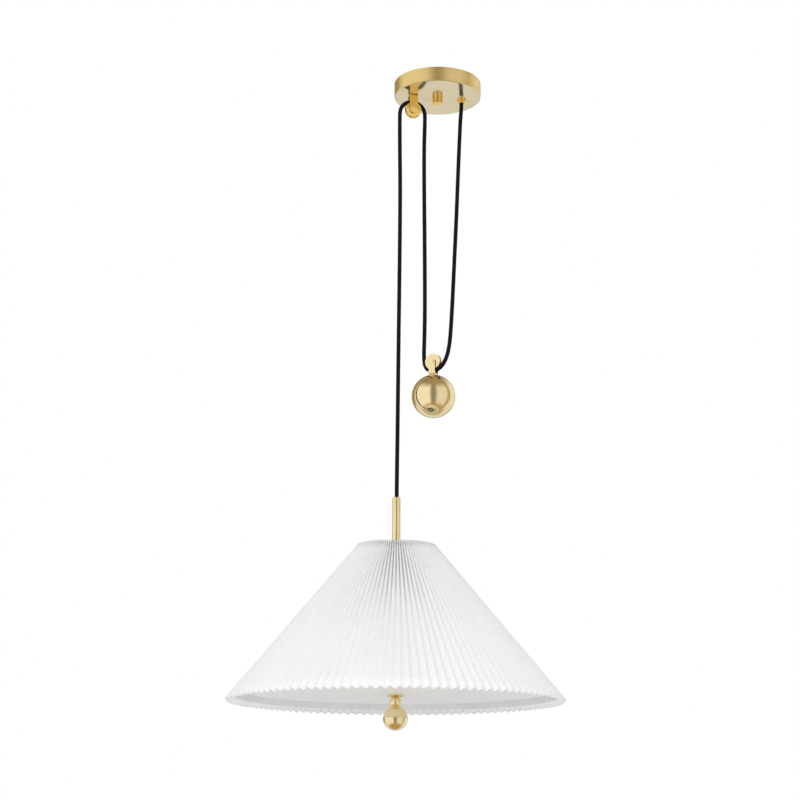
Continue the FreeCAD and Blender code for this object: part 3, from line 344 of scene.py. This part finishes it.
# ---------------------------------------------------------------------------------------------
# Cord
# ---------------------------------------------------------------------------------------------
# Points that control each cord's curve, in millimetres: the same as the part's source has.
LOOP_ROUTE = [
    (44.5, 0, -18), (44.5, 0, -40), (42.4, 0, -64), (40.9, 0, -96), (38.6, 0, -148),
    (35.3, 0, -232), (31.0, -1.5, -316), (25.6, -7, -399), (20.5, -15, -455), (16.3, -20.5, -489),
    (12.6, -17.5, -510), (6.0, -11.6, -525.5), (-1.8, -4.7, -532.4), (-12.7, 5.0, -532.4),
    (-19.4, 10.9, -524.5), (-21.2, 12.5, -506), (-20.5, 11.8, -480), (-20.9, 6.5, -430),
    (-22.5, 1.5, -348), (-23.7, 0, -265), (-24.5, 0, -181), (-24.6, 0, -120), (-23.4, 0, -80),
    (-23.2, 0, -55.6), (-29.4, 0, -45.0), (-40.0, 0, -38.8), (-46.2, 0, -38.8),
]
DROP_ROUTE = [
    (-46.2, 0, -38.8), (-52.4, 0, -38.8), (-63.0, 0, -45.0), (-69.2, 0, -55.6),
    (-69.4, 0, -79), (-69.1, 0, -122), (-67.9, 0, -200), (-68.0, 0, -290), (-68.5, 0, -380),
    (-69.2, 0, -470), (-69.8, 0, -560), (-70.3, 0, -650), (-71.0, 0, -726), (-71.2, 0, -775),
]
BRAID_CARRIERS = 8       # bands of the braid that run each way
BRAID_PITCH = 0.021      # length in which a band goes once round
BRAID_HEIGHT = 0.00016   # how far a band stands out where it passes over
BRAID_STEP = 0.0009      # distance between the rings of the cord's mesh
BRAID_SIDES = 32         # points round each ring of the cord's mesh
BRAID_SINK = 0.7         # share of a band's height that lies inside the cord's own radius


def smooth_line(name, route):
    """The points of the smooth curve that a route controls."""
    curve = bpy.data.curves.new(name, "CURVE")
    curve.dimensions = "3D"
    spline = curve.splines.new("NURBS")
    spline.points.add(len(route) - 1)
    for point, (x, y, z) in zip(spline.points, route):
        point.co = (x * MM, y * MM, z * MM, 1)
    spline.order_u = 3
    spline.use_endpoint_u = True
    spline.resolution_u = 24
    holder = bpy.data.objects.new(name, curve)
    mesh = bpy.data.meshes.new_from_object(holder)
    points = [vertex.co.copy() for vertex in mesh.vertices]
    bpy.data.objects.remove(holder)
    bpy.data.curves.remove(curve)
    bpy.data.meshes.remove(mesh)
    return points


def even_steps(points, step):
    """Points spaced evenly along a line, and its length."""
    lengths = [(b - a).length for a, b in zip(points, points[1:])]
    total = sum(lengths)
    count = max(2, round(total / step))
    made, walked, i = [], 0.0, 0
    for k in range(count + 1):
        target = total * k / count
        while i < len(lengths) - 1 and walked + lengths[i] < target:
            walked += lengths[i]
            i += 1
        share = min(1.0, (target - walked) / lengths[i]) if lengths[i] else 0.0
        made.append(points[i].lerp(points[i + 1], share))
    return made, total


def braid_rise(angle, along):
    """Height of the braid's surface: two families of bands that pass over and under."""
    turn = angle / math.tau * BRAID_CARRIERS
    twist = along / BRAID_PITCH * BRAID_CARRIERS
    one, two = turn + twist, turn - twist
    over = (math.floor(one) + math.floor(two)) % 2 == 0
    share = one % 1.0 if over else two % 1.0
    return math.sin(math.pi * share) ** 0.6


def braided_cord(name, route):
    """A braided cord along a route, and its centre line and length."""
    line, length = even_steps(smooth_line(name, route), BRAID_STEP)
    radius = CORD_DIAMETER / 2
    mesh = bmesh.new()
    uv = mesh.loops.layers.uv.new("braid")
    tangent = (line[1] - line[0]).normalized()
    side = tangent.orthogonal().normalized()
    rings, walked = [], 0.0
    for i, centre in enumerate(line):
        ahead = line[min(i + 1, len(line) - 1)] - line[max(i - 1, 0)]
        turn = tangent.rotation_difference(ahead.normalized())
        tangent = ahead.normalized()
        side = (turn @ side).normalized()
        up = tangent.cross(side)
        walked = length * i / (len(line) - 1)
        ring = []
        for k in range(BRAID_SIDES):
            angle = math.tau * k / BRAID_SIDES
            out = radius + BRAID_HEIGHT * (braid_rise(angle, walked) - BRAID_SINK)
            spoke = side * math.cos(angle) + up * math.sin(angle)
            ring.append(mesh.verts.new(centre + spoke * out))
        rings.append(ring)
    for i, (ring, after) in enumerate(zip(rings, rings[1:])):
        for k in range(BRAID_SIDES):
            n = (k + 1) % BRAID_SIDES
            face = mesh.faces.new((ring[k], after[k], after[n], ring[n]))
            face.smooth = True
            ends = ((k, i), (k, i + 1), (k + 1, i + 1), (k + 1, i))
            for loop, (around, row) in zip(face.loops, ends):
                loop[uv].uv = (around / BRAID_SIDES * math.tau * radius,
                               length * row / (len(line) - 1))
    mesh.faces.new(rings[0])
    mesh.faces.new(rings[-1][::-1])
    bmesh.ops.recalc_face_normals(mesh, faces=mesh.faces)
    data = bpy.data.meshes.new(name)
    mesh.to_mesh(data)
    mesh.free()
    cord = bpy.data.objects.new(name, data)
    bpy.context.scene.collection.objects.link(cord)
    cord.data.materials.append(MATERIALS["cord_fabric"])
    return cord, line, length


def make_cords():
    """The loop from the grip to the top of the upper wheel, and the drop from there to the stem."""
    loop, line, length = braided_cord("braided_loop", LOOP_ROUTE)
    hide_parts("cord_loop")
    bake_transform(loop)
    drop, line, length = braided_cord("braided_drop", DROP_ROUTE)
    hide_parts("cord_drop")
    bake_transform(drop)


# ---------------------------------------------------------------------------------------------
# Pleated shade
# ---------------------------------------------------------------------------------------------
ROWS = 18                # rows of points down each pleat
FOLD_SOFTNESS = 0.0011   # how far a fold's corner is rounded off
RANDOM_SEED = 120


def pleat_depth(radius):
    """Depth of the pleats, square to the cone, where their ridges have a radius."""
    half_pitch = math.pi * radius / PLEATS
    return math.sqrt(PLEAT_FACE ** 2 - half_pitch ** 2)


def pleated_shade():
    """The pleated cone: each face of a pleat keeps its width, and each fold is a little rounded
    and a little unlike the next."""
    chance = random.Random(RANDOM_SEED)
    slope = math.atan2(RIDGE_BOTTOM[0] - RIDGE_TOP[0], RIDGE_TOP[1] - RIDGE_BOTTOM[1])
    outward = Vector((math.cos(slope), 0, math.sin(slope)))
    slant = math.hypot(RIDGE_BOTTOM[0] - RIDGE_TOP[0], RIDGE_TOP[1] - RIDGE_BOTTOM[1])
    folds = 2 * PLEATS
    shifts = [chance.uniform(-0.045, 0.045) for _ in range(folds)]
    sinks = [max(0.0, chance.uniform(-0.03, 0.05)) for _ in range(folds)]
    bows = [chance.uniform(-0.00025, 0.00035) for _ in range(folds)]
    sections = []
    for row in range(ROWS + 1):
        share = row / ROWS
        ridge_r = RIDGE_TOP[0] + share * (RIDGE_BOTTOM[0] - RIDGE_TOP[0])
        ridge_z = RIDGE_TOP[1] + share * (RIDGE_BOTTOM[1] - RIDGE_TOP[1])
        depth = pleat_depth(ridge_r)
        corners = []
        for fold in range(folds):
            drift = shifts[fold] * (0.3 + 0.7 * math.sin(math.pi * share))
            angle = math.pi * (fold + drift) / PLEATS
            sunk = depth if fold % 2 else depth * sinks[fold]
            radius = ridge_r - sunk * outward.x
            height = ridge_z - sunk * outward.z
            corners.append(Vector((radius * math.cos(angle), radius * math.sin(angle), height)))
        points = []
        for fold, corner in enumerate(corners):
            before, after = corners[fold - 1], corners[(fold + 1) % folds]
            back, ahead = before - corner, after - corner
            soft = min(FOLD_SOFTNESS, back.length * 0.25)
            first = corner + back.normalized() * soft
            last = corner + ahead.normalized() * soft
            points += [first, corner * 0.5 + (first + last) * 0.25, last]
            middle = (corner + after) * 0.5
            side = ahead.cross(Vector((corner.x, corner.y, 0)).normalized()).normalized()
            face_out = ahead.cross(side).normalized()
            points.append(middle + face_out * bows[fold] * math.sin(math.pi * share))
        sections.append(points)
    return skin(sections, slant)


def skin(sections, slant):
    """The cloth through rows of points, with its weave's map in metres."""
    mesh = bmesh.new()
    uv = mesh.loops.layers.uv.new("cloth")
    around = len(sections[0])
    widths, walked = [0.0], 0.0
    for one, two in zip(sections[-1], sections[-1][1:] + sections[-1][:1]):
        walked += (two - one).length
        widths.append(walked)
    rows = [[mesh.verts.new(point + Vector((SHADE_X, 0, 0))) for point in points]
            for points in sections]
    for i, (row, below) in enumerate(zip(rows, rows[1:])):
        for k in range(around):
            n = (k + 1) % around
            face = mesh.faces.new((row[k], below[k], below[n], row[n]))
            face.smooth = True
            ends = ((k, i), (k, i + 1), (k + 1, i + 1), (k + 1, i))
            for loop, (place, level) in zip(face.loops, ends):
                loop[uv].uv = (widths[place], slant * level / ROWS)
    bmesh.ops.recalc_face_normals(mesh, faces=mesh.faces)
    data = bpy.data.meshes.new("pleats")
    mesh.to_mesh(data)
    mesh.free()
    shade = bpy.data.objects.new("pleats", data)
    bpy.context.scene.collection.objects.link(shade)
    thick = shade.modifiers.new("cloth", "SOLIDIFY")
    thick.thickness = CLOTH
    thick.offset = -1
    shade.data.materials.append(MATERIALS["shade_fabric"])
    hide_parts("pleated_shade")
    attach(shade, "pendant")
    return shade


# ---------------------------------------------------------------------------------------------
# Studio
# ---------------------------------------------------------------------------------------------
CAMERA_PLACE = (-0.7718, -2.9517, -1.3432)
CAMERA_HEADING = -13.443         # degrees about the vertical, from the part's +Y
CAMERA_TILT = 13.963             # degrees up from the horizontal
CAMERA_ROLL = 0.308
CAMERA_LENS = 82.18              # millimetres
CAMERA_SENSOR = 36.0             # millimetres
FLOOR_Z = -2.4
FLOOR_RADIUS = 9.0
SOFT_LIGHT = 0.70                # strength of the even light


def camera():
    """The camera at the photograph's viewing angle."""
    lens = bpy.data.cameras.new("camera")
    lens.lens = CAMERA_LENS
    lens.sensor_width = CAMERA_SENSOR
    lens.clip_end = 100
    eye = bpy.data.objects.new("camera", lens)
    bpy.context.scene.collection.objects.link(eye)
    turn = (Matrix.Rotation(math.radians(CAMERA_HEADING), 4, "Z")
            @ Matrix.Rotation(math.radians(90 + CAMERA_TILT), 4, "X")
            @ Matrix.Rotation(math.radians(CAMERA_ROLL), 4, "Z"))
    eye.matrix_world = Matrix.Translation(CAMERA_PLACE) @ turn
    bpy.context.scene.camera = eye


# What gloss mirrors, by heading: degrees from the photographer's side, and a colour.
WARM_WALL = (0.38, 0.31, 0.20)
STUDIO_WALLS = (
    (-180, WARM_WALL), (-124, WARM_WALL), (-112, (1.0, 1.0, 1.0)),
    (-26, (1.0, 1.0, 0.99)), (-10, (0.32, 0.31, 0.275)), (7, (0.32, 0.31, 0.275)),
    (24, (0.86, 0.86, 0.87)), (72, (0.86, 0.86, 0.87)), (84, (0.52, 0.47, 0.38)),
    (95, (0.52, 0.47, 0.38)), (106, (0.95, 0.95, 0.95)), (146, (0.95, 0.95, 0.95)),
    (162, WARM_WALL), (180, WARM_WALL),
)


def studio_world():
    """White where the camera looks, an even soft light, and for gloss a studio of bright panels
    with a dark gap between them on the photographer's side, a warm ceiling and a pale floor."""
    world = bpy.data.worlds.new("studio")
    bpy.context.scene.world = world
    world.use_nodes = True
    s = Shader(world.node_tree, "OutputWorld")
    way = s.make("TexCoord", out=0)
    x, y, z = (s.make("SeparateXYZ", {0: way}, out=i) for i in range(3))
    heading = math.radians(CAMERA_HEADING)
    cosine, sine = math.cos(heading), math.sin(heading)
    towards = s.maths("ADD", s.maths("MULTIPLY", x, sine), s.maths("MULTIPLY", y, -cosine))
    right = s.maths("ADD", s.maths("MULTIPLY", x, cosine), s.maths("MULTIPLY", y, sine))
    around = s.maths("MULTIPLY_ADD", s.maths("ARCTAN2", right, towards), 1 / math.tau, 0.5)
    walls = s.stops(around, [(angle / 360 + 0.5, colour) for angle, colour in STUDIO_WALLS])
    ceiling = s.blend(s.ramp(z, 0.55, 0.88), walls, rgb(*WARM_WALL))
    behind = s.maths("MULTIPLY", s.ramp(towards, 0.0, -0.6), s.ramp(z, -0.08, -0.30))
    pale = s.blend(behind, ceiling, rgb(0.84, 0.86, 0.90))
    studio = s.blend(s.ramp(z, -0.62, -0.88), pale, rgb(0.50, 0.37, 0.17))
    rays = {name: s.make("LightPath", out=name)
            for name in ("Is Camera Ray", "Is Glossy Ray", "Is Transmission Ray")}
    seen = s.maths("MAXIMUM", rays["Is Camera Ray"], rays["Is Transmission Ray"])
    soft = s.make("Background", {"Color": rgb(1, 1, 1), "Strength": SOFT_LIGHT})
    gloss = s.make("Background", {"Color": studio, "Strength": 1.0})
    white = s.make("Background", {"Color": rgb(1, 1, 1), "Strength": 1.0})
    mixed = s.make("MixShader", {0: rays["Is Glossy Ray"], 1: soft, 2: gloss})
    s.plug(s.output.inputs["Surface"], s.make("MixShader", {0: seen, 1: mixed, 2: white}))


# Softboxes: name, place, height of the point on the shade's axis that it faces, size and power.
SOFTBOXES = (
    ("front", (-0.9, -3.1, -0.1), -0.9, (2.4, 2.0), 21),
    ("key", (-2.6, -1.9, -0.2), -0.9, (2.2, 2.2), 8),
    ("fill", (2.6, -1.6, -0.6), -0.9, (2.2, 2.2), 4),
    ("low", (-0.4, -1.3, -2.3), -1.1, (1.6, 1.2), 10),
)


def softbox(name, place, target, size, power):
    """A flat light that gloss doesn't mirror, faced to a target."""
    light = bpy.data.lights.new(name, "AREA")
    light.shape = "RECTANGLE"
    light.size, light.size_y = size
    light.energy = power
    lamp = bpy.data.objects.new(name, light)
    bpy.context.scene.collection.objects.link(lamp)
    lamp.location = place
    lamp.rotation_euler = (Vector(target) - Vector(place)).to_track_quat("-Z", "Y").to_euler()
    lamp.visible_glossy = False


def floor():
    """The plain pale floor, which gloss doesn't mirror."""
    made, s = material("studio_floor")
    tone = s.noise(s.place(), 0.7)
    s.surface(Base_Color=s.blend(tone, rgb(0.86, 0.86, 0.86), rgb(0.88, 0.88, 0.88)),
              Roughness=0.8)
    bpy.ops.mesh.primitive_circle_add(vertices=96, radius=FLOOR_RADIUS, fill_type="NGON",
                                      location=(SHADE_X, 0, FLOOR_Z))
    plane = bpy.context.object
    plane.name = "studio_floor"
    plane.data.materials.append(made)
    plane.visible_glossy = False


# ---------------------------------------------------------------------------------------------
# The whole scene
# ---------------------------------------------------------------------------------------------
scene = bpy.context.scene
scene.view_settings.view_transform = "Standard"
camera()
make_cords()
dress_nodes()
pleated_shade()
studio_world()
floor()
for label, place, aim, size, power in SOFTBOXES:
    softbox(label, place, (SHADE_X, 0, aim), size, power)
